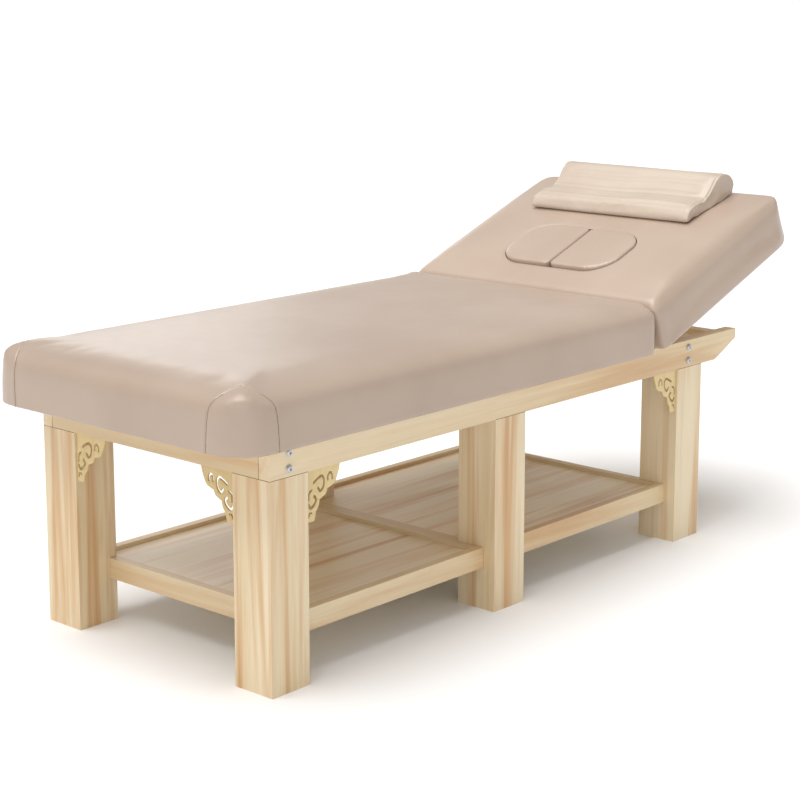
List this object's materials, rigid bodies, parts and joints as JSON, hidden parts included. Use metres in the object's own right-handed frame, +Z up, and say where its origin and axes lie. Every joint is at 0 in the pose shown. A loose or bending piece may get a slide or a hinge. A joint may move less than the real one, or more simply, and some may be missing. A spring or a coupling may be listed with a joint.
{
  "type": "facial treatment bed",
  "caption": "Wooden treatment bed with a padded seat section, tilting padded backrest, split face-hole plug, loose contour pillow and a full-length storage shelf.",
  "frame": {"origin": "on the floor, in the middle of the bed's outline seen from above, with the backrest at its rest tilt of 20.5 degrees", "axes": "+X towards the head end along the bed's length, +Y towards the right side of a person lying on their back, +Z up"},
  "size_m": [1.8992, 0.75, 0.8465],
  "materials": {
    "frame_wood": "clear lacquered pale pine with long reddish tan grain streaks, satin",
    "shelf_panel": "clear lacquered pale pine boards, satin",
    "fretwork": "clear lacquered pale wood, slightly yellower than the frame, sawn fretwork",
    "plywood": "plain plywood, unlacquered",
    "upholstery": "smooth beige synthetic leather with a fine grain and a soft sheen",
    "pillow_cover": "smooth light beige synthetic leather with soft stretch folds",
    "steel": "zinc plated steel, satin"
  },
  "bodies": {
    "frame": {"bracket_end_foot_left": "fretwork", "bracket_end_foot_right": "fretwork", "bracket_end_head_left": "fretwork", "bracket_end_head_right": "fretwork", "bracket_side_foot_left": "fretwork", "bracket_side_foot_right": "fretwork", "bracket_side_head_left": "fretwork", "bracket_side_head_right": "fretwork", "cross_rail_head": "frame_wood", "cross_rail_hinge": "frame_wood", "cross_rail_middle": "frame_wood", "end_rail_foot": "frame_wood", "frame_bolt_foot_lower_left": "steel", "frame_bolt_foot_lower_right": "steel", "frame_bolt_foot_upper_left": "steel", "frame_bolt_foot_upper_right": "steel", "frame_bolt_head_lower_left": "steel", "frame_bolt_head_lower_right": "steel", "frame_bolt_head_upper_left": "steel", "frame_bolt_head_upper_right": "steel", "hinge_base_left": "steel", "hinge_base_right": "steel", "hinge_pin_left": "steel", "hinge_pin_right": "steel", "hinge_ratchet_left": "steel", "hinge_ratchet_right": "steel", "leg_foot_left": "frame_wood", "leg_foot_right": "frame_wood", "leg_head_left": "frame_wood", "leg_head_right": "frame_wood", "leg_middle_left": "frame_wood", "leg_middle_right": "frame_wood", "seat_board": "plywood", "seat_cushion": "upholstery", "shelf_batten_foot_left": "frame_wood", "shelf_batten_foot_right": "frame_wood", "shelf_batten_head_left": "frame_wood", "shelf_batten_head_right": "frame_wood", "shelf_end_rail_foot": "frame_wood", "shelf_end_rail_head": "frame_wood", "shelf_middle_rail": "frame_wood", "shelf_panel_foot": "shelf_panel", "shelf_panel_head": "shelf_panel", "shelf_rail_left": "frame_wood", "shelf_rail_right": "frame_wood", "side_rail_left": "frame_wood", "side_rail_right": "frame_wood"},
    "backrest": {"back_board": "plywood", "back_cushion": "upholstery", "hinge_arm_left": "steel", "hinge_arm_right": "steel", "hinge_screw_1_left": "steel", "hinge_screw_1_right": "steel", "hinge_screw_2_left": "steel", "hinge_screw_2_right": "steel"},
    "face_plug_left": {"face_plug_left": "upholstery"},
    "face_plug_right": {"face_plug_right": "upholstery"},
    "pillow": {"pillow": "pillow_cover"}
  },
  "joints": [
    {"name": "back_tilt", "type": "hinge", "parent": "frame", "child": "backrest", "pos_m": [0.36135, 0, 0.579], "axis": [0, -1, 0], "range_deg": [-20.5, 34.5]},
    {"name": "face_plug_left_lift", "type": "slide", "parent": "backrest", "child": "face_plug_left", "axis": [-0.3502, 0, 0.9367], "range_m": [0, 0.15]},
    {"name": "face_plug_right_lift", "type": "slide", "parent": "backrest", "child": "face_plug_right", "axis": [-0.3502, 0, 0.9367], "range_m": [0, 0.15]},
    {"name": "pillow_lift", "type": "slide", "parent": "backrest", "child": "pillow", "axis": [-0.3502, 0, 0.9367], "range_m": [0, 0.25]}
  ]
}
